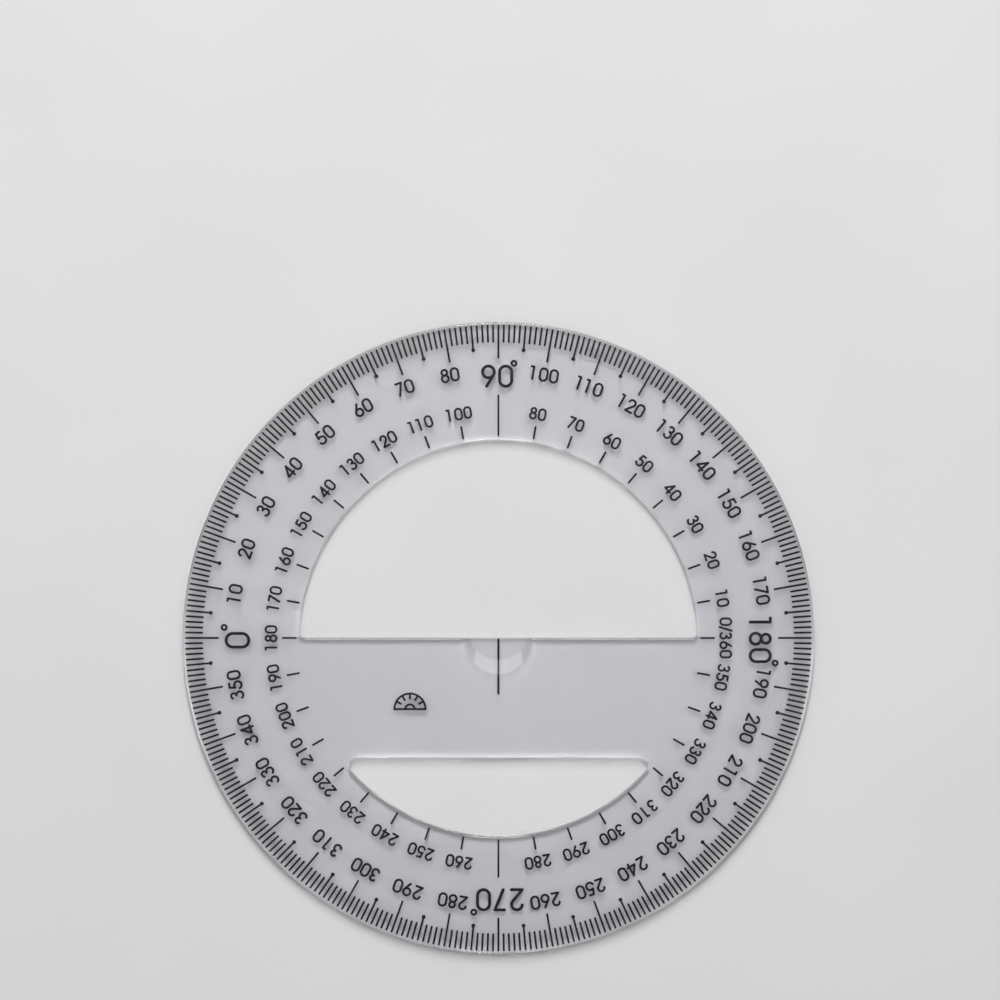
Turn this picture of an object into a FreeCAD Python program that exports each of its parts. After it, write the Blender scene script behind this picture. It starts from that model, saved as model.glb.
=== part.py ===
"""A clear 360-degree protractor: one moulded disc with two windows, and the ink printed on its top.

Millimetres. The origin is the centre of the angle scale, on the disc's underside. +Z points up out of
the printed face, +Y towards the 90 mark and +X towards the 180 mark. The outer scale counts clockwise
from the 0 mark on the -X side, and the inner scale counts the other way from the +X side.
"""

import FreeCAD, Part
import math
import os

import Sketcher

SIZES = (
    ("plate_radius", 75.0, "radius of the disc"),
    ("plate_thick", 2.0, "thickness of the disc"),
    ("rim_round", 0.3, "rounding of the disc's outer edges"),
    ("window_radius", 47.2, "radius of both windows' arcs"),
    ("bar_depth", 28.4, "width of the bar between the windows"),
    ("upper_corner", 1.2, "corner radius of the upper window"),
    ("lower_corner", 2.0, "corner radius of the lower window"),
    ("window_round", 0.5, "rounding of the windows' top edges"),
    ("floor_thick", 1.2, "thickness left under the scoop at the bar's edge"),
    ("floor_radius", 7.4, "radius of the scoop's flat floor"),
    ("floor_shift", 2.2, "centre of the floor above the bar's edge"),
    ("slope_thick", 1.85, "thickness where the scoop's slope meets its shoulder"),
    ("slope_radius", 7.9, "radius of the scoop there"),
    ("slope_shift", 0.8, "centre of that circle below the bar's edge"),
    ("brim_radius", 8.4, "radius of the scoop at the top face"),
    ("brim_shift", 1.9, "centre of the brim below the bar's edge"),
    ("ink_thick", 0.03, "thickness of the printed ink"),
    ("line_width", 0.48, "width of the scales' marks"),
    ("axis_width", 0.44, "width of the four axis lines"),
    ("scale_end", 74.4, "outer end of every mark of the outer scale"),
    ("degree_start", 70.1, "inner end of the 1-degree marks"),
    ("five_dot_place", 68.55, "radius at which the dots of the 5-degree marks sit"),
    ("five_dot_width", 0.95, "diameter of those dots"),
    ("ten_start", 66.35, "inner end of the 10-degree marks"),
    ("inner_start", 47.85, "inner end of the inner scale's marks"),
    ("inner_end", 51.05, "outer end of the inner scale's marks"),
    ("side_line_end", 51.4, "outer end of the two lines along the 0-180 axis"),
    ("upper_line_end", 57.8, "outer end of the line towards 90"),
    ("lower_line_end", 56.95, "outer end of the line towards 270"),
    ("centre_width", 0.52, "width of the centre line"),
    ("centre_waist", 0.36, "width of the centre line on the scoop's slope"),
    ("centre_start", 0.2, "gap between the bar's edge and the centre line"),
    ("centre_end", 13.4, "how far the centre line runs down the bar"),
    ("outer_base", 61.7, "radius at the foot of the outer numerals"),
    ("outer_cap", 3.45, "height of the outer numerals"),
    ("outer_stroke", 0.54, "stroke of the outer numerals"),
    ("inner_base", 52.45, "radius at the foot of the inner numerals"),
    ("inner_cap", 3.05, "height of the inner numerals"),
    ("inner_stroke", 0.5, "stroke of the inner numerals"),
    ("main_base", 59.4, "radius at the foot of 90, 180 and 270"),
    ("main_cap", 5.5, "height of 90, 180 and 270"),
    ("zero_base", 58.9, "radius at the foot of the main 0"),
    ("zero_cap", 6.1, "height of the main 0"),
    ("main_stroke", 0.72, "stroke of the main numerals"),
    ("ring_width", 1.65, "outside diameter of the degree rings"),
    ("ring_stroke", 0.54, "stroke of the degree rings"),
    ("emblem_across", -21.0, "centre of the angle emblem along X"),
    ("emblem_foot", -16.9, "base line of the angle emblem along Y"),
    ("emblem_radius", 3.7, "radius of the emblem's half circle"),
)

# The numbers of the main directions: scale angle, text, how far the text's middle lies past the mark,
# and where its degree ring sits: past the mark, and from the scale's centre.
MAIN_NUMBERS = (
    (90, "90", -0.3, 3.7, 65.2),
    (180, "180", 0.45, 5.95, 65.7),
    (270, "270", -0.35, 5.85, 65.1),
)
ZERO_NUMBER = (0, "0", -0.55, 2.5, 65.1)

# Gaps between neighbouring figures, as shares of the figures' height.
SMALL_GAPS = {"after_one": 0.32, "before_one": 0.26, "before_nought": 0.05, "plain": 0.1}
MAIN_GAPS = {"after_one": 0.35, "before_one": 0.26, "before_nought": 0.1, "plain": 0.17}

# How far the outer numbers lie before their marks, by how many figures they have.
OUTER_SLIP = {2: -0.5, 3: -0.15}

NARROW_DEGREES = (1, 2, 3, 4)
QUARTER_TENS = (10, 20, 30, 40, 50, 60, 70, 80)


# ---- the sheet ----

def make_sheet(doc):
    sheet = doc.addObject("Spreadsheet::Sheet", "Sizes")
    for row, (alias, size, note) in enumerate(SIZES, start=1):
        sheet.set(f"A{row}", alias)
        sheet.set(f"B{row}", str(size))
        sheet.set(f"C{row}", note)
        sheet.setAlias(f"B{row}", alias)
    doc.recompute()
    return sheet


# ---- sketches ----

def make_body(doc, label, lift=None):
    """A body that may hold separate solids; lift is the formula for its height."""
    body = doc.addObject("PartDesign::Body", label)
    body.Label = label
    body.AllowCompound = True
    if lift:
        body.setExpression("Placement.Base.z", lift)
    return body


def new_sketch(body, name, role="XY_Plane", height=None):
    sketch = body.newObject("Sketcher::SketchObject", name)
    plane = next(item for item in body.Origin.OriginFeatures if item.Role == role)
    sketch.AttachmentSupport = [(plane, "")]
    sketch.MapMode = "FlatFace"
    if height:
        sketch.setExpression(".AttachmentOffset.Base.z", height)
    return sketch


def bind(sketch, name, formula, *constraint):
    """Adds a dimension to a sketch and ties it to the sheet."""
    index = sketch.addConstraint(Sketcher.Constraint(*constraint))
    sketch.renameConstraint(index, name)
    sketch.setExpression(f".Constraints.{name}", formula)


def circle_sketch(body, name, radius, across=None, up=None, height=None):
    """A circle on the origin, or with its centre placed by formulas for X and Y."""
    sketch = new_sketch(body, name, height=height)
    circle = Part.Circle(FreeCAD.Vector(1, 1, 0), FreeCAD.Vector(0, 0, 1), 5)
    index = sketch.addGeometry(circle, False)
    bind(sketch, "radius", radius, "Radius", index, 5)
    if across:
        bind(sketch, "across", across, "DistanceX", -1, 1, index, 3, 1)
    else:
        sketch.addConstraint(Sketcher.Constraint("PointOnObject", index, 3, -2))
    if up:
        bind(sketch, "up", up, "DistanceY", -1, 1, index, 3, 1)
    else:
        sketch.addConstraint(Sketcher.Constraint("PointOnObject", index, 3, -1))
    return sketch


def segment_sketch(body, name, sheet, side, chord):
    """A circle segment about the origin: side is 1 above the chord or -1 below it, chord its depth."""
    sketch = new_sketch(body, name)
    radius = sheet.window_radius
    depth = sheet.get(chord) if chord else 0
    lean = math.asin(depth / radius)
    start, end = (0, math.pi) if side > 0 else (math.pi + lean, 2 * math.pi - lean)
    circle = Part.Circle(FreeCAD.Vector(0, 0, 0), FreeCAD.Vector(0, 0, 1), radius)
    arc = sketch.addGeometry(Part.ArcOfCircle(circle, start, end), False)
    half = radius * math.cos(lean)
    first = FreeCAD.Vector(half * side, -depth, 0)
    last = FreeCAD.Vector(-half * side, -depth, 0)
    line = sketch.addGeometry(Part.LineSegment(last, first), False)
    sketch.addConstraint(Sketcher.Constraint("Coincident", arc, 3, -1, 1))
    sketch.addConstraint(Sketcher.Constraint("Coincident", arc, 2, line, 1))
    sketch.addConstraint(Sketcher.Constraint("Coincident", arc, 1, line, 2))
    bind(sketch, "radius", "Sizes.window_radius", "Radius", arc, radius)
    if chord:
        sketch.addConstraint(Sketcher.Constraint("Horizontal", line))
        bind(sketch, "depth", f"-Sizes.{chord}", "DistanceY", -1, 1, line, 1, -depth)
    else:
        sketch.addConstraint(Sketcher.Constraint("PointOnObject", line, 1, -1))
        sketch.addConstraint(Sketcher.Constraint("PointOnObject", line, 2, -1))
    return sketch


def polygon_sketch(body, name, role, corners, sheet):
    """A closed outline whose corners are pairs of formulas."""
    sketch = new_sketch(body, name, role)
    count = len(corners)
    places = [FreeCAD.Vector(worth(sheet, x), worth(sheet, y), 0) for x, y in corners]
    for index in range(count):
        edge = Part.LineSegment(places[index], places[(index + 1) % count])
        sketch.addGeometry(edge, False)
    for index in range(count):
        sketch.addConstraint(Sketcher.Constraint("Coincident", index, 2, (index + 1) % count, 1))
    for index, (across, up) in enumerate(corners):
        bind(sketch, f"across_{index}", across, "DistanceX", -1, 1, index, 1, places[index].x)
        bind(sketch, f"up_{index}", up, "DistanceY", -1, 1, index, 1, places[index].y)
    return sketch


def worth(sheet, formula):
    """The value of a sum of sheet sizes, such as -Sizes.ink_thick + Sizes.plate_thick."""
    total = 0
    for term in formula.replace("-", "+-").split("+"):
        term = term.strip()
        if term:
            sign = -1 if term.startswith("-") else 1
            total += sign * sheet.get(term.split(".")[-1])
    return total


def add_mark(sketch, sheet, angle, inner, outer, width="line_width"):
    """A round-ended mark on the ray at this angle of the scale, between two sizes of the sheet."""
    half = sheet.get(width) / 2
    turn = math.radians(180 - angle)
    along = FreeCAD.Vector(math.cos(turn), math.sin(turn), 0)
    aside = FreeCAD.Vector(-along.y, along.x, 0) * half
    near = along * (sheet.get(inner) + half)
    far = along * (sheet.get(outer) - half)
    up = FreeCAD.Vector(0, 0, 1)
    quarter = math.pi / 2
    first = sketch.addGeometry(Part.LineSegment(near - aside, far - aside), False)
    cap = sketch.addGeometry(
        Part.ArcOfCircle(Part.Circle(far, up, half), turn - quarter, turn + quarter), False)
    second = sketch.addGeometry(Part.LineSegment(far + aside, near + aside), False)
    foot = sketch.addGeometry(
        Part.ArcOfCircle(Part.Circle(near, up, half), turn + quarter, turn + 3 * quarter), False)
    ray = sketch.addGeometry(Part.LineSegment(FreeCAD.Vector(), far), True)
    for one, other in ((first, cap), (cap, second), (second, foot), (foot, first)):
        sketch.addConstraint(Sketcher.Constraint("Tangent", one, 2, other, 1))
    sketch.addConstraint(Sketcher.Constraint("Equal", cap, foot))
    sketch.addConstraint(Sketcher.Constraint("Coincident", ray, 1, -1, 1))
    sketch.addConstraint(Sketcher.Constraint("Coincident", ray, 2, cap, 3))
    sketch.addConstraint(Sketcher.Constraint("PointOnObject", foot, 3, ray))
    bind(sketch, f"half_{angle}", f"Sizes.{width} / 2", "Radius", cap, half)
    bind(sketch, f"far_{angle}", f"Sizes.{outer} - Sizes.{width} / 2",
         "Distance", ray, far.Length)
    bind(sketch, f"near_{angle}", f"Sizes.{inner} + Sizes.{width} / 2",
         "Distance", -1, 1, foot, 3, near.Length)
    sketch.addConstraint(Sketcher.Constraint("Angle", -1, 1, ray, 1, turn))


# ---- features ----

def add_pad(body, sketch, length, midplane=False):
    pad = body.newObject("PartDesign::Pad", f"{sketch.Name}_pad")
    pad.Profile = sketch
    pad.setExpression("Length", length)
    pad.Midplane = midplane
    return pad


def add_pocket(body, sketch):
    """Cuts a sketch on the underside up through everything."""
    pocket = body.newObject("PartDesign::Pocket", f"{sketch.Name}_pocket")
    pocket.Profile = sketch
    pocket.Type = "ThroughAll"
    pocket.Reversed = True
    return pocket


def add_fillet(body, base, radius, wanted):
    """Rounds the edges of the last feature for which wanted(edge) holds."""
    edges = [f"Edge{number}" for number, edge in enumerate(base.Shape.Edges, 1) if wanted(edge)]
    fillet = body.newObject("PartDesign::Fillet", "fillet")
    fillet.Base = (base, edges)
    fillet.setExpression("Radius", radius)
    return fillet


def add_ring_of(body, seeds, count):
    """Repeats features evenly round the scale's centre."""
    ring = body.newObject("PartDesign::PolarPattern", "ring")
    ring.Originals = seeds
    ring.Axis = (seeds[0].Profile[0], ["N_Axis"])
    ring.Angle = 360
    ring.Occurrences = count
    body.Tip = ring
    return ring


# ---- the disc ----

def stands_upright(edge):
    """Whether an edge runs straight up."""
    low, high = edge.Vertexes[0].Point, edge.Vertexes[-1].Point
    return abs(low.x - high.x) + abs(low.y - high.y) < 1e-6 and abs(low.z - high.z) > 1e-6


def middle(edge):
    return edge.valueAt((edge.FirstParameter + edge.LastParameter) / 2)


def make_plate(doc, sheet):
    body = make_body(doc, "protractor_plate")
    disc = add_pad(body, circle_sketch(body, "disc", "Sizes.plate_radius"), "Sizes.plate_thick")
    doc.recompute()
    bulk = disc.Shape.Volume

    upper = add_pocket(body, segment_sketch(body, "upper_window", sheet, 1, None))
    lower = add_pocket(body, segment_sketch(body, "lower_window", sheet, -1, "bar_depth"))
    doc.recompute()
    if not lower.Shape.Volume < upper.Shape.Volume < bulk:
        raise RuntimeError("a window was not cut")

    def in_upper(edge):
        return stands_upright(edge) and middle(edge).Length < 60 and middle(edge).y > -1

    def in_lower(edge):
        return stands_upright(edge) and middle(edge).Length < 60 and middle(edge).y < -1

    corners = add_fillet(body, lower, "Sizes.upper_corner", in_upper)
    doc.recompute()
    corners = add_fillet(body, corners, "Sizes.lower_corner", in_lower)
    doc.recompute()

    def on_rim(edge):
        return abs(math.hypot(middle(edge).x, middle(edge).y) - sheet.plate_radius) < 0.01

    def on_window_top(edge):
        return abs(middle(edge).z - sheet.plate_thick) < 1e-6 and not on_rim(edge)

    def on_rim_end(edge):
        return on_rim(edge) and not stands_upright(edge)

    rim = add_fillet(body, corners, "Sizes.rim_round", on_rim_end)
    doc.recompute()
    tops = add_fillet(body, rim, "Sizes.window_round", on_window_top)
    doc.recompute()

    floor = circle_sketch(body, "scoop_floor", "Sizes.floor_radius",
                          up="Sizes.floor_shift", height="Sizes.floor_thick")
    slope = circle_sketch(body, "scoop_slope", "Sizes.slope_radius",
                          up="-Sizes.slope_shift", height="Sizes.slope_thick")
    brim = circle_sketch(body, "scoop_brim", "Sizes.brim_radius",
                         up="-Sizes.brim_shift", height="Sizes.plate_thick")
    scoop = body.newObject("PartDesign::SubtractiveLoft", "scoop")
    scoop.Profile = floor
    scoop.Sections = [slope, brim]
    scoop.Ruled = True
    doc.recompute()
    if not scoop.Shape.Volume < tops.Shape.Volume:
        raise RuntimeError("the scoop was not cut")
    return body


# ---- the marks ----

def make_marks(doc, sheet, label, angles, inner, outer, count):
    """One body of marks: the given angles, repeated count times round the scale."""
    body = make_body(doc, label, "Sizes.plate_thick")
    sketch = new_sketch(body, f"{label}_outline")
    for angle in angles:
        add_mark(sketch, sheet, angle, inner, outer)
    pad = add_pad(body, sketch, "Sizes.ink_thick")
    if count > 1:
        doc.recompute()
        add_ring_of(body, [pad], count)
    return body


def make_five_marks(doc, sheet):
    """The 5-degree marks end in a round dot."""
    body = make_body(doc, "five_degree_marks", "Sizes.plate_thick")
    stem = new_sketch(body, "five_stem")
    add_mark(stem, sheet, 5, "five_dot_place", "scale_end")
    stem_pad = add_pad(body, stem, "Sizes.ink_thick")
    dot = circle_sketch(body, "five_dot", "Sizes.five_dot_width / 2",
                        "-Sizes.five_dot_place * cos(5 deg)", "Sizes.five_dot_place * sin(5 deg)")
    dot_pad = add_pad(body, dot, "Sizes.ink_thick")
    doc.recompute()
    add_ring_of(body, [stem_pad, dot_pad], 36)
    return body


def make_axis_lines(doc, sheet):
    """Four long lines, along the 0-180 and 90-270 axes."""
    body = make_body(doc, "axis_lines", "Sizes.plate_thick")
    sketch = new_sketch(body, "axis_lines_outline")
    ends = {0: "side_line_end", 90: "upper_line_end", 180: "side_line_end", 270: "lower_line_end"}
    for angle, end in ends.items():
        add_mark(sketch, sheet, angle, "inner_start", end, "axis_width")
    add_pad(body, sketch, "Sizes.ink_thick")
    return body


def make_centre_line(doc, sheet):
    """The centre line follows the scoop's floor, slope and shoulder, and is thinner on the slope."""
    body = make_body(doc, "centre_line")
    path = {
        "start": ("-Sizes.centre_start", "Sizes.floor_thick"),
        "floor": ("Sizes.floor_shift - Sizes.floor_radius", "Sizes.floor_thick"),
        "slope": ("-Sizes.slope_shift - Sizes.slope_radius", "Sizes.slope_thick"),
        "brim": ("-Sizes.brim_shift - Sizes.brim_radius", "Sizes.plate_thick"),
        "end": ("-Sizes.centre_end", "Sizes.plate_thick"),
    }
    stretches = (
        ("waist", ("start", "floor", "slope", "brim", "end"), "Sizes.centre_waist"),
        ("head", ("start", "floor"), "Sizes.centre_width"),
        ("tail", ("slope", "brim", "end"), "Sizes.centre_width"),
    )
    for name, stops, width in stretches:
        under = [path[stop] for stop in stops]
        over = [(across, f"{up} + Sizes.ink_thick") for across, up in reversed(under)]
        sketch = polygon_sketch(body, f"centre_{name}", "YZ_Plane", under + over, sheet)
        add_pad(body, sketch, width, midplane=True)
    return body


# ---- the figures ----

def bend(x, y, radius, start, end):
    """An arc about (x, y) between two directions in degrees, either way round."""
    def at(turn):
        return FreeCAD.Vector(x + radius * math.cos(math.radians(turn)),
                              y + radius * math.sin(math.radians(turn)), 0)
    if abs(end - start) == 360:
        return [Part.makeCircle(radius, FreeCAD.Vector(x, y, 0))]
    return [Part.Arc(at(start), at((start + end) / 2), at(end)).toShape()]


def run(*corners):
    """Straight edges from corner to corner."""
    places = [FreeCAD.Vector(x, y, 0) for x, y in corners]
    return [Part.makeLine(one, other) for one, other in zip(places, places[1:])]


def touch(x, y, radius, from_x, from_y, side):
    """Where a line from a point touches a circle, on its left (1) or right (-1) seen from the point."""
    reach = math.hypot(x - from_x, y - from_y)
    turn = math.atan2(y - from_y, x - from_x) + side * math.asin(radius / reach)
    length = math.sqrt(reach ** 2 - radius ** 2)
    return from_x + length * math.cos(turn), from_y + length * math.sin(turn)


def figure_paths():
    """The centre lines of the figures, one unit high and standing on y = 0, with their widths."""
    nought = 0.3
    upper_bowl = (0.265, 0.735, 0.265)
    bowl = 0.29
    two_x, two_y = touch(*upper_bowl, 0, 0, -1)
    two_turn = math.degrees(math.atan2(two_y - upper_bowl[1], two_x - upper_bowl[0]))
    nine_foot = bowl - 0.09
    nine_x, nine_y = touch(bowl, 1 - bowl, bowl, nine_foot, 0, -1)
    five_turn = 126
    five_x = 0.25 + 0.3 * math.cos(math.radians(five_turn))
    five_y = 0.3 + 0.3 * math.sin(math.radians(five_turn))
    return {
        "0": (2 * nought, [bend(nought, 1 - nought, nought, 0, 180)
                           + run((0, 1 - nought), (0, nought))
                           + bend(nought, nought, nought, 180, 360)
                           + run((2 * nought, nought), (2 * nought, 1 - nought))]),
        "1": (0.2, [run((0, 1), (0.2, 1), (0.2, 0))]),
        "2": (0.54, [bend(*upper_bowl, 175, two_turn) + run((two_x, two_y), (0, 0), (0.54, 0))]),
        "3": (0.53, [bend(0.25, 0.78, 0.22, 150, -90) + bend(0.25, 0.28, 0.28, 90, -150)]),
        "4": (0.64, [run((0.64, 0.24), (0, 0.24), (0.48, 1)), run((0.48, 1), (0.48, 0))]),
        "5": (0.55, [run((0.47, 1), (0.14, 1), (five_x, five_y))
                     + bend(0.25, 0.3, 0.3, five_turn, -160)]),
        "6": (2 * bowl, [bend(bowl, bowl, bowl, 0, 360),
                         run((2 * bowl - nine_x, 1 - nine_y), (2 * bowl - nine_foot, 1))]),
        "7": (0.47, [run((0, 1), (0.47, 1), (0.06, 0))]),
        "8": (0.55, [bend(0.275, 0.275, 0.275, 0, 360), bend(0.275, 0.775, 0.225, 0, 360)]),
        "9": (2 * bowl, [bend(bowl, 1 - bowl, bowl, 0, 360),
                         run((nine_x, nine_y), (nine_foot, 0))]),
        "/": (0.35, [run((0, -0.08), (0.35, 1.05))]),
    }


def ring_face(circle, stroke):
    """The band of ink along a full circle."""
    centre, radius = circle.Curve.Center, circle.Curve.Radius
    wide, narrow = (Part.makeCircle(radius + grow, centre) for grow in (stroke / 2, -stroke / 2))
    return Part.Face(Part.Wire(wide)).cut(Part.Face(Part.Wire(narrow)))


def bar_face(line, stroke):
    """The round-ended band of ink along one straight edge."""
    first, last = (vertex.Point for vertex in line.Vertexes)
    along = (last - first).normalize() * (stroke / 2)
    aside = FreeCAD.Vector(-along.y, along.x, 0)
    return Part.Face(Part.Wire([
        Part.makeLine(first - aside, last - aside),
        Part.Arc(last - aside, last + along, last + aside).toShape(),
        Part.makeLine(last + aside, first + aside),
        Part.Arc(first + aside, first - along, first - aside).toShape(),
    ]))


def stroke_face(edges, stroke):
    """The band of ink along a path: round-ended, or a closed ring."""
    wire = Part.Wire(edges)
    if len(edges) == 1 and wire.isClosed():
        return ring_face(edges[0], stroke)
    if len(edges) == 1 and isinstance(edges[0].Curve, Part.Line):
        return bar_face(edges[0], stroke)
    if wire.isClosed():
        wide, narrow = (wire.makeOffset2D(grow, fill=False) for grow in (stroke / 2, -stroke / 2))
        return Part.Face(wide).cut(Part.Face(narrow))
    return wire.makeOffset2D(stroke / 2, fill=True)


def stroke_solid(paths, size, stroke, thick):
    """The printed shape of some paths, drawn at a size with a stroke."""
    solids = []
    for path in paths:
        edges = [edge.scaled(size, FreeCAD.Vector()) for edge in path]
        solids.append(stroke_face(edges, stroke).extrude(FreeCAD.Vector(0, 0, thick)))
    if len(solids) == 1:
        return solids[0]
    return solids[0].fuse(solids[1:]).removeSplitter()


def gap_between(left, right, gaps):
    """The gap between two neighbouring figures, as a share of their height."""
    if "/" in (left, right):
        return 0
    if left == "1":
        return gaps["after_one"]
    if right == "1":
        return gaps["before_one"]
    if right == "0":
        return gaps["before_nought"]
    return gaps["plain"]


def figure_solids(text, figures, cap, stroke, thick, gaps=SMALL_GAPS):
    """The figures of a number, side by side, with their middle on x = 0 and their feet on y = 0."""
    size = cap - stroke
    solids = []
    edge = 0
    for index, character in enumerate(text):
        if index:
            edge += gap_between(text[index - 1], character, gaps) * cap
        width, paths = figures[character]
        solid = stroke_solid(paths, size, stroke, thick)
        solid.translate(FreeCAD.Vector(edge + stroke / 2, stroke / 2, 0))
        solids.append(solid)
        edge += width * size + stroke
    for solid in solids:
        solid.translate(FreeCAD.Vector(-edge / 2, 0, 0))
    return solids


def stand_at(solid, angle, base, slip=0):
    """Moves a shape drawn about the origin onto the scale: its foot at radius base, its top outward."""
    solid.translate(FreeCAD.Vector(slip, base, 0))
    solid.rotate(FreeCAD.Vector(), FreeCAD.Vector(0, 0, 1), 90 - angle)
    return solid


def make_print(doc, sheet, label, solids):
    """A printed group as one object, lying on the disc's top face."""
    feature = doc.addObject("Part::Feature", label)
    feature.Label = label
    feature.Shape = Part.makeCompound(solids)
    feature.Placement = FreeCAD.Placement(FreeCAD.Vector(0, 0, sheet.plate_thick), FreeCAD.Rotation())
    return feature


def make_outer_numbers(doc, sheet, figures):
    solids = []
    for angle in range(10, 360, 10):
        if angle % 90:
            text = str(angle)
            number = figure_solids(text, figures, sheet.outer_cap, sheet.outer_stroke, sheet.ink_thick)
            for solid in number:
                solids.append(stand_at(solid, angle, sheet.outer_base, OUTER_SLIP[len(text)]))
    return make_print(doc, sheet, "outer_numerals", solids)


def make_inner_numbers(doc, sheet, figures):
    """The inner scale runs backwards from the 180 mark of the outer one."""
    solids = []
    for angle in range(0, 360, 10):
        if angle not in (90, 270):
            text = str((180 - angle) % 360 or "0/360")
            number = figure_solids(text, figures, sheet.inner_cap, sheet.inner_stroke, sheet.ink_thick)
            for solid in number:
                solids.append(stand_at(solid, angle, sheet.inner_base))
    return make_print(doc, sheet, "inner_numerals", solids)


def make_main_numbers(doc, sheet, figures):
    solids = []
    ring_radius = (sheet.ring_width - sheet.ring_stroke) / 2
    sizes = {"cap": sheet.main_cap, "base": sheet.main_base}
    zero_sizes = {"cap": sheet.zero_cap, "base": sheet.zero_base}
    rows = [(row, sizes) for row in MAIN_NUMBERS] + [(ZERO_NUMBER, zero_sizes)]
    for (angle, text, slip, ring_slip, ring_place), size in rows:
        cap, base = size["cap"], size["base"]
        for solid in figure_solids(text, figures, cap, sheet.main_stroke, sheet.ink_thick, MAIN_GAPS):
            solids.append(stand_at(solid, angle, base, slip))
        ring = stroke_solid([bend(0, 0, 1, 0, 360)], ring_radius, sheet.ring_stroke, sheet.ink_thick)
        solids.append(stand_at(ring, angle, ring_place, ring_slip))
    return make_print(doc, sheet, "main_numerals", solids)


def make_emblem(doc, sheet):
    """A plain half-circle angle sign: base line, arc and five short rays."""
    paths = [run((-1, 0), (1, 0)), bend(0, 0, 1, 0, 180), bend(0, 0, 0.3, 0, 180)]
    for turn in (30, 60, 90, 120, 150):
        across, up = math.cos(math.radians(turn)), math.sin(math.radians(turn))
        paths.append(run((0.68 * across, 0.68 * up), (across, up)))
    solid = stroke_solid(paths, sheet.emblem_radius, sheet.inner_stroke, sheet.ink_thick)
    solid.translate(FreeCAD.Vector(sheet.emblem_across, sheet.emblem_foot, 0))
    return make_print(doc, sheet, "angle_emblem", [solid])


# ---- the whole ----

def check_and_write(doc, pieces):
    for item in doc.Objects:
        if {"Invalid", "Error"} & set(item.State):
            raise RuntimeError(f"{item.Label} failed: {item.State}")
    for piece in pieces:
        shape = piece.Shape
        if shape.isNull() or not shape.isValid() or not shape.Solids:
            raise RuntimeError(f"{piece.Label} has no valid shape")
    os.makedirs("parts", exist_ok=True)
    for piece in pieces:
        piece.Shape.exportStep(f"parts/{piece.Label}.step")
        print(f"{piece.Label}: {len(piece.Shape.Solids)} solids, {piece.Shape.Volume:.2f} mm3")


def main():
    doc = FreeCAD.newDocument("protractor")
    sheet = make_sheet(doc)
    figures = figure_paths()
    pieces = [
        make_plate(doc, sheet),
        make_marks(doc, sheet, "one_degree_marks", NARROW_DEGREES, "degree_start", "scale_end", 72),
        make_five_marks(doc, sheet),
        make_marks(doc, sheet, "ten_degree_marks", (10,), "ten_start", "scale_end", 36),
        make_marks(doc, sheet, "inner_scale_marks", QUARTER_TENS, "inner_start", "inner_end", 4),
        make_axis_lines(doc, sheet),
        make_centre_line(doc, sheet),
        make_outer_numbers(doc, sheet, figures),
        make_inner_numbers(doc, sheet, figures),
        make_main_numbers(doc, sheet, figures),
        make_emblem(doc, sheet),
    ]
    doc.recompute()
    check_and_write(doc, pieces)


main()
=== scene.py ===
import math

import bpy
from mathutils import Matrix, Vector
from mathutils.geometry import delaunay_2d_cdt


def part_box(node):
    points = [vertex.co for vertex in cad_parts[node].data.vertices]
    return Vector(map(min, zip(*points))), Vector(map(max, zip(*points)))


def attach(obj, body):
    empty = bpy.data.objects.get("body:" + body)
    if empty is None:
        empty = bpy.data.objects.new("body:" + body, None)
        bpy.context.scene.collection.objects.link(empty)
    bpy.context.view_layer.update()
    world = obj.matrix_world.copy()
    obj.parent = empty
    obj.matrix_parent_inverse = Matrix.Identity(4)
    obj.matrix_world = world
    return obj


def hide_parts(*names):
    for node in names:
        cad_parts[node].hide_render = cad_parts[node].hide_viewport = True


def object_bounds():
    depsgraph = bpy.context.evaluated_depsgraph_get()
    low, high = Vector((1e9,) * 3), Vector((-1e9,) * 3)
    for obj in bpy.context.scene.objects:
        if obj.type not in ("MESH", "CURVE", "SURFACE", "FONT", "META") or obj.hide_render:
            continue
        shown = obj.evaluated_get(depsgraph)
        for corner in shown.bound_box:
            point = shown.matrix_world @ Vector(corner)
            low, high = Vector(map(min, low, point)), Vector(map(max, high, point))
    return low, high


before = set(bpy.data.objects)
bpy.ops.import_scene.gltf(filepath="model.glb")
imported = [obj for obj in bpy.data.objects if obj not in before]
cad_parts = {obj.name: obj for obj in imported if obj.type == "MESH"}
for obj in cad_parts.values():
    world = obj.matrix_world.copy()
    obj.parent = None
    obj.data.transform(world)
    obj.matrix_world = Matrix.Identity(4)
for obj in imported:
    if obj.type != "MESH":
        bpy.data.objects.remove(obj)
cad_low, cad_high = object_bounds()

# The looks of a clear protractor: a polished acrylic disc with two windows, and black ink on its top.
# Shapes are worked out in millimetres, in the frame of the CAD part, and scaled when a mesh is made.
MM = 0.001

_, plate_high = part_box("protractor_plate")
PLATE_RADIUS = plate_high.x / MM
PLATE_TOP = plate_high.z / MM
INK_TOP = cad_high.z / MM

# ---- sizes of the disc ----
RIM_ROUND = 0.3
WINDOW_RADIUS = 47.2
BAR_DEPTH = 28.4
UPPER_CORNER = 1.2
LOWER_CORNER = 2.0
WINDOW_ROUND = 0.5
# The scoop's nested circles: height of the surface, radius, centre along Y.
SCOOP = ((1.2, 7.4, 2.2), (1.85, 7.9, -0.8), (PLATE_TOP, 8.4, -1.9))

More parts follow.
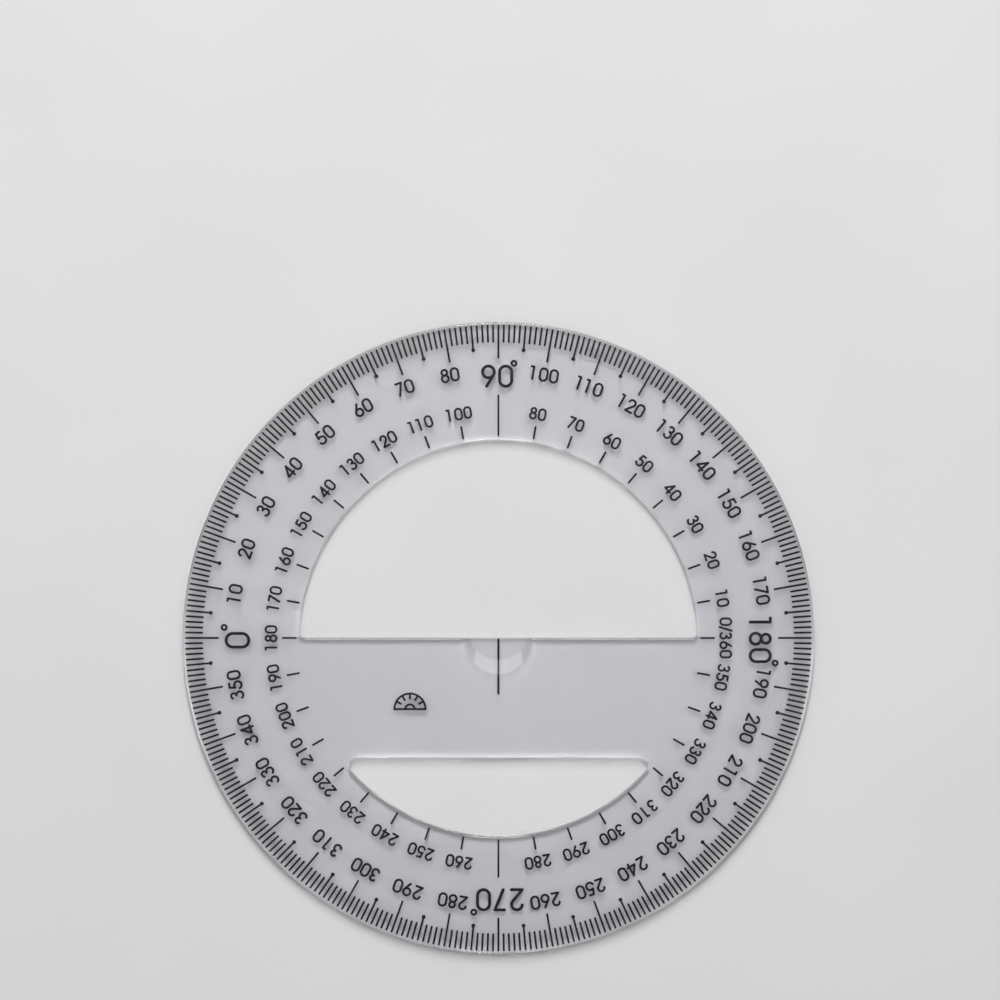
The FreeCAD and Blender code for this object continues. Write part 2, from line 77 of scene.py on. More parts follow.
# ---- sizes of the print ----
INK_SINK = 0.01
LINE_WIDTH = 0.48
AXIS_WIDTH = 0.44
SCALE_END = 74.4
DEGREE_START = 70.1
FIVE_DOT_PLACE = 68.55
FIVE_DOT_WIDTH = 0.95
TEN_START = 66.35
INNER_START = 47.85
INNER_END = 51.05
SIDE_LINE_END = 51.4
UPPER_LINE_END = 57.8
LOWER_LINE_END = 56.95
CENTRE_WIDTH = 0.52
CENTRE_WAIST = 0.36
CENTRE_START = 0.2
CENTRE_END = 13.4
RING_WIDTH = 1.65
RING_STROKE = 0.54
EMBLEM_ACROSS = -21.0
EMBLEM_FOOT = -16.9
EMBLEM_RADIUS = 3.7
EMBLEM_STROKE = 0.5
# The emblem's hub and the inner ends of its rays are shares of its radius.
EMBLEM_HUB = 0.3
EMBLEM_RAY_START = 0.68
EMBLEM_RAYS = (30, 60, 90, 120, 150)

# Gaps between neighbouring figures, as shares of the figures' height. "after_one" and the rest say which
# neighbours a gap is for, and "plain" is for all others.
SMALL_GAPS = {"after_one": 0.32, "before_one": 0.26, "before_nought": 0.05, "plain": 0.1}
MAIN_GAPS = {"after_one": 0.35, "before_one": 0.26, "before_nought": 0.1, "plain": 0.17}
OUTER = {"base": 61.7, "cap": 3.45, "stroke": 0.54, "gaps": SMALL_GAPS}
INNER = {"base": 52.45, "cap": 3.05, "stroke": 0.5, "gaps": SMALL_GAPS}
MAIN = {"base": 59.4, "cap": 5.5, "stroke": 0.72, "gaps": MAIN_GAPS}
ZERO = {"base": 58.9, "cap": 6.1, "stroke": 0.72, "gaps": MAIN_GAPS}
# The numbers of the main directions: the scale's angle, the text, how far its middle lies past the mark,
# how far its degree ring lies past the mark and from the scale's centre, and the sizes of its figures.
MAIN_NUMBERS = (
    (0, "0", -0.55, 2.5, 65.1, ZERO),
    (90, "90", -0.3, 3.7, 65.2, MAIN),
    (180, "180", 0.45, 5.95, 65.7, MAIN),
    (270, "270", -0.35, 5.85, 65.1, MAIN),
)
# How far the outer numbers lie before their marks, by how many figures they have.
OUTER_SLIP = {2: -0.5, 3: -0.15}

# ---- fineness ----
RIM_STEPS = 720
WINDOW_STEPS = 240
CORNER_STEPS = 12
ROUND_STEPS = 8
SCOOP_STEPS = 64
SLOPE_STEPS = 3
TURN_STEPS = 56
CAP_STEPS = 8
DOT_STEPS = 32
SHARP_TURN = math.radians(20)
# How near two points of a path, a filled face or a stroke count as one, in millimetres.
PATH_TOLERANCE = 1e-9
FILL_TOLERANCE = 1e-7
STROKE_TOLERANCE = 1e-6


# ---- meshes ----

class Shell:
    """Points and faces of one closed mesh, in millimetres, with smooth and flat faces kept apart."""

    def __init__(self):
        self.points = []
        self.faces = []
        self.smooth = []
        self.creases = set()

    def add_points(self, flat_points, height):
        first = len(self.points)
        self.points += [(x, y, height) for x, y in flat_points]
        return list(range(first, len(self.points)))

    def add_face(self, indices, smooth=False):
        self.faces.append(indices)
        self.smooth.append(smooth)

    def add_strip(self, lower, upper, closed=True):
        """Quads between two rows of points; seen from outside, the rows run to the left."""
        count = len(lower) if closed else len(lower) - 1
        for index in range(count):
            after = (index + 1) % len(lower)
            self.add_face([lower[after], lower[index], upper[index], upper[after]], True)

    def fill(self, loops, upward):
        """Triangles over the first loop, less the other loops."""
        indices = [index for loop in loops for index in loop]
        flat = [Vector(self.points[index][:2]) for index in indices]
        edges = []
        start = 0
        for loop in loops:
            size = len(loop)
            edges += [(start + step, start + (step + 1) % size) for step in range(size)]
            start += size
        outer = [list(range(len(loops[0])))]
        holes = []
        start = len(loops[0])
        for loop in loops[1:]:
            holes.append(list(range(start, start + len(loop))))
            start += len(loop)
        _, _, triangles, origins, _, owners = delaunay_2d_cdt(
            flat, edges, outer + holes, 1, FILL_TOLERANCE)
        for triangle, owner in zip(triangles, owners):
            if owner == [0]:
                corners = [indices[origins[corner][0]] for corner in triangle]
                self.add_face(corners if upward else corners[::-1])

    def make(self, name, material):
        mesh = bpy.data.meshes.new(name)
        mesh.from_pydata([Vector(point) * MM for point in self.points], [], self.faces)
        mesh.polygons.foreach_set("use_smooth", self.smooth)
        if self.creases:
            sharp = mesh.attributes.new("sharp_edge", "BOOLEAN", "EDGE")
            for edge in mesh.edges:
                sharp.data[edge.index].value = tuple(sorted(edge.vertices)) in self.creases
        mesh.materials.append(material)
        mesh.update()
        piece = bpy.data.objects.new(name, mesh)
        bpy.context.scene.collection.objects.link(piece)
        return piece


def arc(x, y, radius, start, end, steps=None):
    """Points along an arc about (x, y) between two directions in degrees, ends included."""
    count = steps or max(2, math.ceil(abs(end - start) / 360 * TURN_STEPS))
    turns = [math.radians(start + (end - start) * step / count) for step in range(count + 1)]
    return [(x + radius * math.cos(turn), y + radius * math.sin(turn)) for turn in turns]


# ---- the disc ----

def window_outline(depth, corner, grow):
    """A window above a chord, grown by an offset; it runs anticlockwise from the chord's right end."""
    corner_up = depth + corner
    corner_across = math.sqrt((WINDOW_RADIUS - corner) ** 2 - corner_up ** 2)
    lean = math.degrees(math.atan2(corner_up, corner_across))
    right = arc(corner_across, corner_up, corner + grow, -90, lean, CORNER_STEPS)
    steps = round(WINDOW_STEPS * (180 - 2 * lean) / 180)
    top = arc(0, 0, WINDOW_RADIUS + grow, lean, 180 - lean, steps)
    left = arc(-corner_across, corner_up, corner + grow, 180 - lean, 270, CORNER_STEPS)
    return right + top[1:-1] + left


def rounding(height_at_wall, radius):
    """Heights and offsets of the rings that round a window's top edge."""
    turns = [math.radians(90 * step / ROUND_STEPS) for step in range(ROUND_STEPS + 1)]
    return [(height_at_wall + radius * math.sin(turn), radius * (1 - math.cos(turn)))
            for turn in turns]


def scoop_circle(height):
    """Radius and centre of the scoop's circle at a height."""
    for (low, radius, up), (high, next_radius, next_up) in zip(SCOOP, SCOOP[1:]):
        if height <= high:
            share = (height - low) / (high - low)
            return radius + share * (next_radius - radius), up + share * (next_up - up)
    return SCOOP[-1][1:]


def scoop_arc(height, chord):
    """The scoop's circle below a chord, from left to right."""
    radius, up = scoop_circle(height)
    lean = math.degrees(math.asin((chord - up) / radius))
    return arc(0, up, radius, 180 - lean, 360 + lean, SCOOP_STEPS)


def half_turned(points):
    return [(-x, -y) for x, y in points]


def make_plate(material):
    shell = Shell()
    wall_top = PLATE_TOP - WINDOW_ROUND

    # The rim: a ring of points for each step of its section, from the underside to the top.
    rings = []
    for middle, start in ((RIM_ROUND, 270), (PLATE_TOP - RIM_ROUND, 360)):
        section = arc(PLATE_RADIUS - RIM_ROUND, middle, RIM_ROUND, start, start + 90, ROUND_STEPS)
        for across, height in section:
            rings.append(shell.add_points(arc(0, 0, across, 0, 360, RIM_STEPS)[:-1], height))
    for lower, upper in zip(rings, rings[1:]):
        shell.add_strip(upper, lower)

    # The lower window is worked out above the origin and turned half round.
    walls = []
    for height, grow in [(0, 0)] + rounding(wall_top, WINDOW_ROUND):
        outline = half_turned(window_outline(BAR_DEPTH, LOWER_CORNER, grow))
        walls.append(shell.add_points(outline, height))
    for lower, upper in zip(walls, walls[1:]):
        shell.add_strip(lower, upper)

    # The upper window: its rings take in the scoop, whose arc follows the outline from left to right.
    foot = shell.add_points(window_outline(0, UPPER_CORNER, 0), 0)
    levels = []
    for height, grow in rounding(wall_top, WINDOW_ROUND):
        outline = window_outline(0, UPPER_CORNER, grow)
        levels.append(shell.add_points(outline + scoop_arc(height, -grow), height))
    size = len(foot)
    shell.add_strip(foot, levels[0][:size], closed=False)
    for lower, upper in zip(levels, levels[1:]):
        shell.add_strip(lower, upper)
        for end in (size, -1):
            shell.creases.add(tuple(sorted((lower[end], upper[end]))))

    # The scoop below the rounding, down to its flat floor.
    floor_height = SCOOP[0][0]
    slopes = [floor_height + (wall_top - floor_height) * step / SLOPE_STEPS for step in range(SLOPE_STEPS)]
    arcs = [shell.add_points(scoop_arc(height, 0), height) for height in slopes] + [levels[0][size:]]
    for lower, upper in zip(arcs, arcs[1:]):
        shell.add_strip(lower, upper, closed=False)
    shell.add_face(arcs[0])

    # The bar's edge in the upper window is one flat face under the rounding and the scoop.
    left_side = [row[0] for row in arcs[::-1]]
    right_side = [row[-1] for row in arcs]
    shell.add_face([foot[0], foot[-1], levels[0][size - 1]] + left_side + right_side + [levels[0][0]])

    shell.fill([rings[-1], walls[-1], levels[-1]], True)
    shell.fill([rings[0], walls[0], foot], False)
    return shell.make("acrylic_plate", material)


# ---- strokes ----

def left_of(way):
    return Vector((-way.y, way.x))


def ribbon(path, half):
    """Convex pieces that cover a stroke: a quad for each run, a fan at a sharp corner, and round ends."""
    spots = [Vector(spot) for spot in path]
    closed = (spots[0] - spots[-1]).length < PATH_TOLERANCE
    ways = [(after - spot).normalized() for spot, after in zip(spots, spots[1:])]
    last = len(ways)
    pieces = []
    starts = {0: (spots[0] + left_of(ways[0]) * half, spots[0] - left_of(ways[0]) * half)}
    ends = {last: (spots[-1] + left_of(ways[-1]) * half, spots[-1] - left_of(ways[-1]) * half)}
    joints = [(index, ways[index - 1], ways[index]) for index in range(1, last)]
    if closed:
        joints.append((last, ways[-1], ways[0]))
    for index, before, after in joints:
        turn = before.angle_signed(after)
        reach = (left_of(before) + left_of(after)).normalized() * (half / math.cos(turn / 2))
        spot = spots[index]
        if abs(turn) < SHARP_TURN:
            ends[index] = starts[index] = (spot + reach, spot - reach)
            continue
        side = 1 if turn > 0 else -1
        inner = spot - reach * side
        outer_end = spot + left_of(before) * half * side
        outer_start = spot + left_of(after) * half * side
        ends[index] = (outer_end, inner) if side > 0 else (inner, outer_end)
        starts[index] = (outer_start, inner) if side > 0 else (inner, outer_start)
        first = math.degrees(math.atan2(outer_end.y - spot.y, outer_end.x - spot.x))
        sweep = -math.degrees(turn)
        fan = [Vector(place) for place in arc(spot.x, spot.y, half, first, first + sweep, CAP_STEPS)]
        pieces.append([inner] + fan[::-side])
    if closed:
        starts[0] = ends[last]
    for index in range(last):
        left, right = starts[index]
        next_left, next_right = ends[index + 1]
        pieces.append([right, next_right, next_left, left])
    if not closed:
        for spot, way, first in ((spots[0], ways[0], 90), (spots[-1], ways[-1], -90)):
            start = math.degrees(math.atan2(way.y, way.x)) + first
            cap = arc(spot.x, spot.y, half, start, start + 180, CAP_STEPS * 2)
            pieces.append([Vector(place) for place in cap])
    return pieces


def covers(piece, x, y):
    """Whether a convex piece, anticlockwise, covers a point."""
    for one, other in zip(piece, piece[1:] + piece[:1]):
        if (other.x - one.x) * (y - one.y) < (other.y - one.y) * (x - one.x):
            return False
    return True


def union(pieces):
    """Points and triangles that cover some overlapping convex pieces."""
    points = []
    edges = []
    for piece in pieces:
        first = len(points)
        points += piece
        edges += [(first + step, first + (step + 1) % len(piece)) for step in range(len(piece))]
    spots, _, triangles, _, _, _ = delaunay_2d_cdt(points, edges, [], 0, STROKE_TOLERANCE)
    kept = []
    for triangle in triangles:
        a, b, c = (spots[corner] for corner in triangle)
        if any(covers(piece, (a.x + b.x + c.x) / 3, (a.y + b.y + c.y) / 3) for piece in pieces):
            kept.append(triangle)
    return spots, kept


def add_print(shell, shape, place, low, high):
    """Adds the closed solid of a flat shape between two heights; place moves its points onto the dial."""
    spots, triangles = shape
    flat = [place(spot) for spot in spots]
    under = shell.add_points(flat, low)
    over = shell.add_points(flat, high)
    sides = {(one, other) for a, b, c in triangles for one, other in ((a, b), (b, c), (c, a))}
    for triangle in triangles:
        shell.add_face([over[corner] for corner in triangle])
        shell.add_face([under[corner] for corner in reversed(triangle)])
    for one, other in sides:
        if (other, one) not in sides:
            shell.add_face([under[one], under[other], over[other], over[one]])


def on_dial(angle, base=0, slip=0):
    """A function that stands a drawing's points on the dial: its foot at radius base, its top outward."""
    turn = math.radians(90 - angle)

    def place(spot):
        across, up = spot[0] + slip, spot[1] + base
        return (across * math.cos(turn) - up * math.sin(turn),
                across * math.sin(turn) + up * math.cos(turn))
    return place


# ---- the figures ----

def touch(x, y, radius, from_x, from_y, side):
    """Where a line from a point touches a circle, on its left (1) or right (-1) seen from the point."""
    reach = math.hypot(x - from_x, y - from_y)
    turn = math.atan2(y - from_y, x - from_x) + side * math.asin(radius / reach)
    length = math.sqrt(reach ** 2 - radius ** 2)
    return from_x + length * math.cos(turn), from_y + length * math.sin(turn)


def figure_paths():
    """The centre lines of the figures, one unit high and standing on y = 0, with their widths."""
    nought = 0.3
    bowl = 0.29
    two_x, two_y, two_radius = 0.265, 0.735, 0.265
    foot_x, foot_y = touch(two_x, two_y, two_radius, 0, 0, -1)
    two_turn = math.degrees(math.atan2(foot_y - two_y, foot_x - two_x))
    nine_foot = bowl - 0.09
    nine_x, nine_y = touch(bowl, 1 - bowl, bowl, nine_foot, 0, -1)
    ring = arc(nought, 1 - nought, nought, 0, 180) + arc(nought, nought, nought, 180, 360)
    return {
        "0": (2 * nought, [ring + ring[:1]]),
        "1": (0.2, [[(0, 1), (0.2, 1), (0.2, 0)]]),
        "2": (0.54, [arc(two_x, two_y, two_radius, 175, two_turn) + [(0, 0), (0.54, 0)]]),
        "3": (0.53, [arc(0.25, 0.78, 0.22, 150, -90), arc(0.25, 0.28, 0.28, 90, -150)]),
        "4": (0.64, [[(0.64, 0.24), (0, 0.24), (0.48, 1)], [(0.48, 1), (0.48, 0)]]),
        "5": (0.55, [[(0.47, 1), (0.14, 1)] + arc(0.25, 0.3, 0.3, 126, -160)]),
        "6": (2 * bowl, [arc(bowl, bowl, bowl, 0, 360),
                         [(2 * bowl - nine_x, 1 - nine_y), (2 * bowl - nine_foot, 1)]]),
        "7": (0.47, [[(0, 1), (0.47, 1), (0.06, 0)]]),
        "8": (0.55, [arc(0.275, 0.275, 0.275, 0, 360), arc(0.275, 0.775, 0.225, 0, 360)]),
        "9": (2 * bowl, [arc(bowl, 1 - bowl, bowl, 0, 360), [(nine_x, nine_y), (nine_foot, 0)]]),
        "/": (0.35, [[(0, -0.08), (0.35, 1.05)]]),
    }


def gap_between(left, right, gaps):
    """The gap between two figures; the slash of 0/360 has none."""
    if "/" in (left, right):
        return 0
    if left == "1":
        return gaps["after_one"]
    if right == "1":
        return gaps["before_one"]
    return gaps["before_nought"] if right == "0" else gaps["plain"]


FIGURES = figure_paths()
drawn_figures = {}


def figure_shape(character, cap, stroke):
    """A figure's flat shape and width, drawn once for each size."""
    key = (character, cap, stroke)
    if key not in drawn_figures:
        width, paths = FIGURES[character]
        size = cap - stroke
        pieces = []
        for path in paths:
            scaled = [(x * size + stroke / 2, y * size + stroke / 2) for x, y in path]
            pieces += ribbon(scaled, stroke / 2)
        drawn_figures[key] = (union(pieces), width * size + stroke)
    return drawn_figures[key]


def add_number(shell, text, angle, size, slip=0):
    """Adds a number whose middle stands on the mark at this angle."""
    shapes = []
    edge = 0
    for index, character in enumerate(text):
        if index:
            edge += gap_between(text[index - 1], character, size["gaps"]) * size["cap"]
        shape, width = figure_shape(character, size["cap"], size["stroke"])
        shapes.append((shape, edge))
        edge += width
    for shape, start in shapes:
        place = on_dial(angle, size["base"], start - edge / 2 + slip)
        add_print(shell, shape, place, PLATE_TOP - INK_SINK, INK_TOP)


# ---- the print ----

def add_marks(shell, angles, start, end, dot=None, width=LINE_WIDTH):
    """Round-ended marks between two radii; dot is the diameter of a dot on their inner ends."""
    half = width / 2
    pieces = ribbon([(0, start + half), (0, end - half)], half)
    if dot:
        pieces.append([Vector(spot) for spot in arc(0, start, dot / 2, 0, 360, DOT_STEPS)[:-1]])
    shape = union(pieces)
    for angle in angles:
        add_print(shell, shape, on_dial(angle), PLATE_TOP - INK_SINK, INK_TOP)


def one_degree_marks(shell):
    add_marks(shell, [angle for angle in range(360) if angle % 5], DEGREE_START, SCALE_END)


def five_degree_marks(shell):
    add_marks(shell, range(5, 360, 10), FIVE_DOT_PLACE, SCALE_END, FIVE_DOT_WIDTH)


def ten_degree_marks(shell):
    add_marks(shell, range(0, 360, 10), TEN_START, SCALE_END)


def inner_scale_marks(shell):
    add_marks(shell, [angle for angle in range(0, 360, 10) if angle % 90], INNER_START, INNER_END)


def axis_lines(shell):
    """The longer lines on the two axes; they start with the inner marks and have their own ends."""
    for angles, end in (((0, 180), SIDE_LINE_END), ((90,), UPPER_LINE_END), ((270,), LOWER_LINE_END)):
        add_marks(shell, angles, INNER_START, end, width=AXIS_WIDTH)


def centre_line(shell):
    """The centre line follows the scoop, and is thinner on its slope."""
    start, foot, shoulder, brim, end = (
        [(-CENTRE_START, SCOOP[0][0])]
        + [(up - radius, height) for height, radius, up in SCOOP]
        + [(-CENTRE_END, PLATE_TOP)])
    stations = (
        (start, CENTRE_WIDTH), (foot, CENTRE_WIDTH),
        (foot, CENTRE_WAIST), (shoulder, CENTRE_WAIST),
        (shoulder, CENTRE_WIDTH), (brim, CENTRE_WIDTH), (end, CENTRE_WIDTH),
    )
    lift = INK_TOP - PLATE_TOP
    rows = []
    for (up, height), width in stations:
        row = []
        for side, rise in ((-1, -INK_SINK), (1, -INK_SINK), (1, lift), (-1, lift)):
            row += shell.add_points([(side * width / 2, up)], height + rise)
        rows.append(row)
    for before, after in zip(rows, rows[1:]):
        for corner in range(4):
            beside = (corner + 1) % 4
            shell.add_face([before[corner], after[corner], after[beside], before[beside]])
    shell.add_face(rows[0])
    shell.add_face(rows[-1][::-1])


def outer_numerals(shell):
    for angle in range(10, 360, 10):
        if angle % 90:
            add_number(shell, str(angle), angle, OUTER, OUTER_SLIP[len(str(angle))])


def inner_numerals(shell):
    for angle in range(0, 360, 10):
        if angle not in (90, 270):
            add_number(shell, str((180 - angle) % 360 or "0/360"), angle, INNER)


def main_numerals(shell):
    ring = union(ribbon(arc(0, 0, (RING_WIDTH - RING_STROKE) / 2, 0, 360), RING_STROKE / 2))
    for angle, text, slip, ring_slip, ring_place, size in MAIN_NUMBERS:
        add_number(shell, text, angle, size, slip)
        add_print(shell, ring, on_dial(angle, ring_place, ring_slip), PLATE_TOP - INK_SINK, INK_TOP)


def angle_emblem(shell):
    """A plain half-circle angle sign: base line, arc, hub and short rays."""
    paths = [[(-1, 0), (1, 0)], arc(0, 0, 1, 0, 180), arc(0, 0, EMBLEM_HUB, 0, 180)]
    for turn in EMBLEM_RAYS:
        across, up = math.cos(math.radians(turn)), math.sin(math.radians(turn))
        paths.append([(EMBLEM_RAY_START * across, EMBLEM_RAY_START * up), (across, up)])
    pieces = []
    for path in paths:
        pieces += ribbon([(x * EMBLEM_RADIUS, y * EMBLEM_RADIUS) for x, y in path], EMBLEM_STROKE / 2)
    place = on_dial(90, EMBLEM_FOOT, EMBLEM_ACROSS)
    add_print(shell, union(pieces), place, PLATE_TOP - INK_SINK, INK_TOP)


# ---- materials ----

# Noise scales count cells to the metre, depths are in millimetres, and pairs are the two ends of a range.
ACRYLIC_IOR = 1.49
ACRYLIC_COLOUR = (0.858, 0.852, 0.88)
ACRYLIC_CAST = (0.866, 0.86, 0.886)
CAST_SCALE = 14
WAVE_SCALE = 32
WAVE_DEPTH = 0.02
RUB_SCALE = 60
RUB_ROUGHNESS = (0.0, 0.035)
SCRATCH_TURNS = (12, 74, 141)
SCRATCH_SCALE = 45
SCRATCH_STRETCH = (1, 45, 1)
SCRATCH_EDGE = (0.71, 0.75)
SCRATCH_ROUGHNESS = (0.0, 0.16)
SCRATCH_DEPTH = 0.0015
WORN_SCALE = 35
WORN_EDGE = (0.45, 0.62)

INK_COLOUR = (0.009, 0.008, 0.011)
THIN_INK_COLOUR = (0.028, 0.027, 0.031)
INK_SHINE = 0.25
FILM_SCALE = 420
FILM_EDGE = (0.46, 0.66)
GRAIN_SCALE = 2600
GRAIN_ROUGHNESS = (0.32, 0.55)
GRAIN_DEPTH = 0.008

FLOOR_COLOUR = (0.785, 0.785, 0.785)
FLOOR_CLOUD_COLOUR = (0.815, 0.815, 0.812)
FLOOR_SHINE = 0.2
CLOUD_SCALE = 16
TOOTH_SCALE = 1400
TOOTH_ROUGHNESS = (0.82, 0.95)
TOOTH_DEPTH = 0.02


def new_material(name):
    material = bpy.data.materials.new(name)
    material.use_nodes = True
    nodes = material.node_tree.nodes
    return material, nodes, material.node_tree.links, nodes["Principled BSDF"]


def add_noise(nodes, links, scale, detail=3.0, stretch=(1, 1, 1), turn=0):
    """Noise in the piece's own space; stretch and turn draw it out into streaks."""
    place = nodes.new("ShaderNodeTexCoord")
    mapping = nodes.new("ShaderNodeMapping")
    mapping.inputs["Rotation"].default_value = (0, 0, math.radians(turn))
    mapping.inputs["Scale"].default_value = stretch
    noise = nodes.new("ShaderNodeTexNoise")
    noise.inputs["Scale"].default_value = scale
    noise.inputs["Detail"].default_value = detail
    links.new(place.outputs["Object"], mapping.inputs["Vector"])
    links.new(mapping.outputs["Vector"], noise.inputs["Vector"])
    return noise.outputs["Fac"]


def spread(nodes, links, source, low, high, start=0.3, end=0.7):
    """Maps a value between two bounds onto a range."""
    node = nodes.new("ShaderNodeMapRange")
    for name, value in (("From Min", start), ("From Max", end), ("To Min", low), ("To Max", high)):
        node.inputs[name].default_value = value
    links.new(source, node.inputs["Value"])
    return node.outputs["Result"]


def combine(nodes, links, operation, one, other):
    node = nodes.new("ShaderNodeMath")
    node.operation = operation
    links.new(one, node.inputs[0])
    links.new(other, node.inputs[1])
    return node.outputs["Value"]


def blend(nodes, links, share, low, high):
    """A colour between two others, by a share from 0 to 1."""
    node = nodes.new("ShaderNodeMix")
    node.data_type = "RGBA"
    node.inputs["A"].default_value = (*low, 1)
    node.inputs["B"].default_value = (*high, 1)
    links.new(share, node.inputs["Factor"])
    return node.outputs["Result"]


def add_relief(nodes, links, shader, height, depth, under=None):
    """Bumps the shader's surface by a height from 0 to 1, this deep in millimetres."""
    node = nodes.new("ShaderNodeBump")
    node.inputs["Strength"].default_value = 1.0
    node.inputs["Distance"].default_value = depth * MM
    links.new(height, node.inputs["Height"])
    if under:
        links.new(under, node.inputs["Normal"])
    links.new(node.outputs["Normal"], shader.inputs["Normal"])
    return node.outputs["Normal"]


def hairlines(nodes, links):
    """Fine scratches that run three ways: 1 on a scratch and 0 beside it."""
    worn = spread(nodes, links, add_noise(nodes, links, WORN_SCALE), 0, 1, *WORN_EDGE)
    lines = None
    for turn in SCRATCH_TURNS:
        streak = add_noise(nodes, links, SCRATCH_SCALE, 1.0, SCRATCH_STRETCH, turn)
        streak = spread(nodes, links, streak, 0, 1, *SCRATCH_EDGE)
        lines = combine(nodes, links, "MAXIMUM", lines, streak) if lines else streak
    return combine(nodes, links, "MULTIPLY", lines, worn)


def acrylic():
    """Clear, faintly lavender plastic, polished and a little wavy, with rub marks and hairlines."""
    material, nodes, links, shader = new_material("clear_acrylic")
    shader.inputs["Transmission Weight"].default_value = 1.0
    shader.inputs["IOR"].default_value = ACRYLIC_IOR
    cast = spread(nodes, links, add_noise(nodes, links, CAST_SCALE), 0, 1)
    links.new(blend(nodes, links, cast, ACRYLIC_COLOUR, ACRYLIC_CAST), shader.inputs["Base Color"])
    scratches = hairlines(nodes, links)
    rubbed = spread(nodes, links, add_noise(nodes, links, RUB_SCALE), *RUB_ROUGHNESS)
    scuffed = spread(nodes, links, scratches, *SCRATCH_ROUGHNESS, 0, 1)
    links.new(combine(nodes, links, "ADD", rubbed, scuffed), shader.inputs["Roughness"])
    waves = add_relief(nodes, links, shader, add_noise(nodes, links, WAVE_SCALE, 1.0), WAVE_DEPTH)
    add_relief(nodes, links, shader, scratches, -SCRATCH_DEPTH, waves)
    return material


def ink():
    """Black screen ink: fine grain, and a slightly paler film where it is thin."""
    material, nodes, links, shader = new_material("printed_ink")
    shader.inputs["Specular IOR Level"].default_value = INK_SHINE
    thin = spread(nodes, links, add_noise(nodes, links, FILM_SCALE, 4.0), 0, 1, *FILM_EDGE)
    links.new(blend(nodes, links, thin, INK_COLOUR, THIN_INK_COLOUR), shader.inputs["Base Color"])
    grain = add_noise(nodes, links, GRAIN_SCALE, 2.0)
    links.new(spread(nodes, links, grain, *GRAIN_ROUGHNESS), shader.inputs["Roughness"])
    add_relief(nodes, links, shader, grain, GRAIN_DEPTH)
    return material


def floor_paper():
    """A matt pale board with faint clouds of tone and a fine tooth."""
    material, nodes, links, shader = new_material("pale_floor")
    shader.inputs["Specular IOR Level"].default_value = FLOOR_SHINE
    clouds = spread(nodes, links, add_noise(nodes, links, CLOUD_SCALE, 2.0), 0, 1)
    tone = blend(nodes, links, clouds, FLOOR_COLOUR, FLOOR_CLOUD_COLOUR)
    links.new(tone, shader.inputs["Base Color"])
    tooth = add_noise(nodes, links, TOOTH_SCALE, 3.0)
    links.new(spread(nodes, links, tooth, *TOOTH_ROUGHNESS), shader.inputs["Roughness"])
    add_relief(nodes, links, shader, tooth, TOOTH_DEPTH)
    return material


# ---- the scene ----

# The camera looks straight down. Its place over the disc and the width that it sees are in millimetres.
CAMERA_ACROSS = 0.38
CAMERA_UP = 32.75
VIEW_WIDTH = 238.1
LENS = 100
# The lights are this many metres from the disc. For each: how far it leans from overhead in degrees, its
# width and height in metres, and its radiance.
LIGHT_REACH = 1.3
KEY_LIGHT = (41, 0.3, 0.75, 13.8)
SHEEN_LIGHT = (17.5, 0.95, 0.17, 3.6)
LIGHT_BOUNCES = 40
# A soft glow overhead, mirrored in the flat face. Its reach is a distance between unit directions, and its
# lean towards 90 is in radians.
SKY_STRENGTH = 0.35
GLOW_STRENGTH = 0.65
GLOW_REACH = 0.18
GLOW_LEAN = 0.02
# The floor is a square, in millimetres. It lies a little under the disc, which brings out the shadows along
# the disc's edges.
FLOOR_WIDTH = 3000
FLOOR_GAP = 0.4


def make_camera():
    data = bpy.data.cameras.new("camera")
    data.lens = LENS
    camera = bpy.data.objects.new("camera", data)
    reach = VIEW_WIDTH * MM * LENS / data.sensor_width
    camera.location = (CAMERA_ACROSS * MM, CAMERA_UP * MM, reach)
    bpy.context.scene.collection.objects.link(camera)
    bpy.context.scene.camera = camera


def make_light(name, lean, width, height, radiance):
    """A soft panel beyond the 90 mark that leans over the disc and faces it."""
    data = bpy.data.lights.new(name, "AREA")
    data.shape = "RECTANGLE"
    data.size = width
    data.size_y = height
    data.energy = radiance * math.pi * width * height
    light = bpy.data.objects.new(name, data)
    turn = math.radians(lean)
    light.location = (0, LIGHT_REACH * math.sin(turn), LIGHT_REACH * math.cos(turn))
    light.rotation_euler = (-turn, 0, 0)
    bpy.context.scene.collection.objects.link(light)


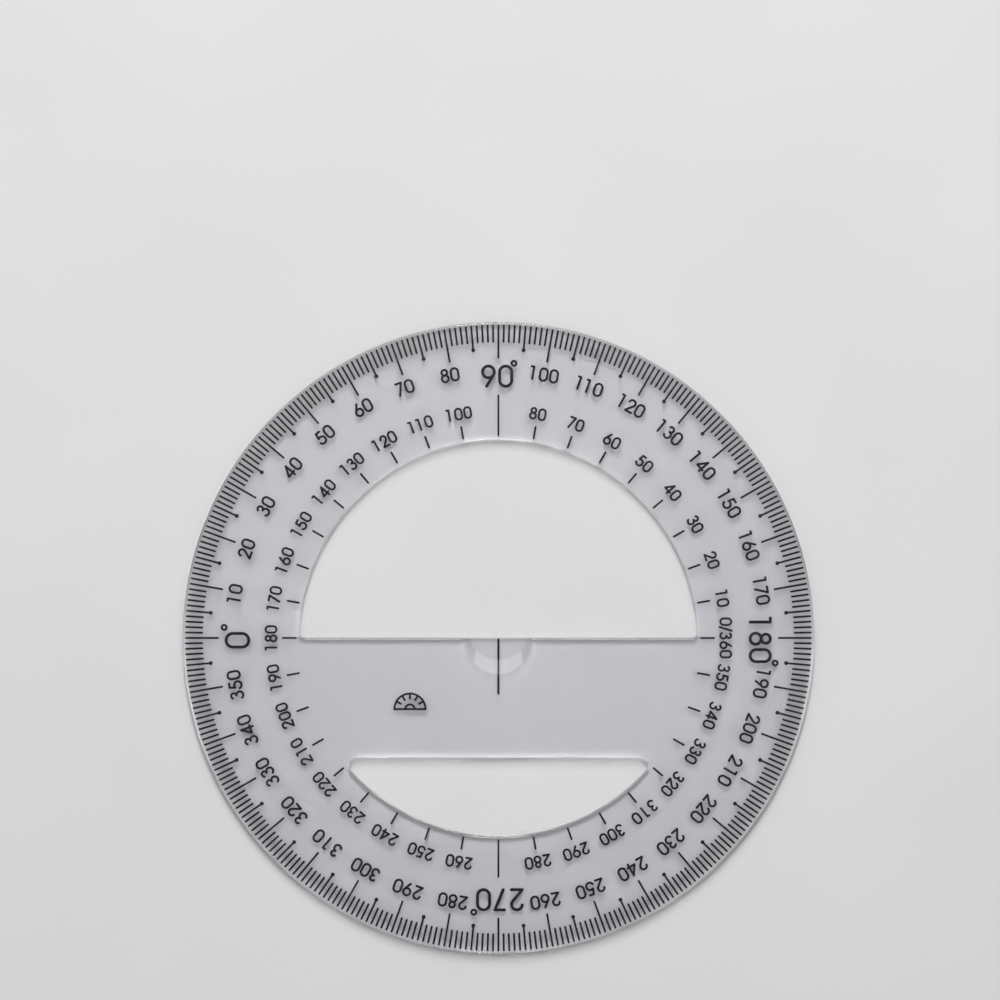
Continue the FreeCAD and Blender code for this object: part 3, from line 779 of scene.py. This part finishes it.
def make_world():
    """A dim grey studio with a soft glow overhead."""
    world = bpy.data.worlds.new("studio")
    world.use_nodes = True
    nodes, links = world.node_tree.nodes, world.node_tree.links
    place = nodes.new("ShaderNodeTexCoord")
    away = nodes.new("ShaderNodeVectorMath")
    away.operation = "DISTANCE"
    away.inputs[1].default_value = (0, math.sin(GLOW_LEAN), math.cos(GLOW_LEAN))
    links.new(place.outputs["Generated"], away.inputs[0])
    glow = spread(nodes, links, away.outputs["Value"], SKY_STRENGTH + GLOW_STRENGTH, SKY_STRENGTH,
                  0, GLOW_REACH)
    glow.node.interpolation_type = "SMOOTHSTEP"
    background = nodes["Background"]
    background.inputs["Color"].default_value = (1, 1, 1, 1)
    links.new(glow, background.inputs["Strength"])
    bpy.context.scene.world = world


def make_floor():
    shell = Shell()
    half = FLOOR_WIDTH / 2
    corners = shell.add_points([(-half, -half), (half, -half), (half, half), (-half, half)], -FLOOR_GAP)
    shell.add_face(corners)
    floor = shell.make("floor", floor_paper())


def show(piece, node):
    """Lets a piece take the place of the CAD node whose shape it repeats."""
    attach(piece, "root")
    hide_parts(node)


scene = bpy.context.scene
scene.view_settings.view_transform = "Standard"
# Lamp light reaches the floor through the disc by refraction: those paths are not blurred or clamped.
scene.cycles.blur_glossy = 0
scene.cycles.sample_clamp_indirect = 0
# Light turns back many times inside the clear walls before it leaves them.
scene.cycles.max_bounces = LIGHT_BOUNCES
scene.cycles.transmission_bounces = LIGHT_BOUNCES
scene.cycles.glossy_bounces = LIGHT_BOUNCES
make_camera()
make_world()
make_light("key_panel", *KEY_LIGHT)
make_light("sheen_panel", *SHEEN_LIGHT)
make_floor()

plate = make_plate(acrylic())
show(plate, "protractor_plate")

black = ink()
PRINTS = (
    one_degree_marks, five_degree_marks, ten_degree_marks, inner_scale_marks, axis_lines,
    centre_line, outer_numerals, inner_numerals, main_numerals, angle_emblem,
)
for draw in PRINTS:
    shell = Shell()
    draw(shell)
    show(shell.make(f"printed_{draw.__name__}", black), draw.__name__)
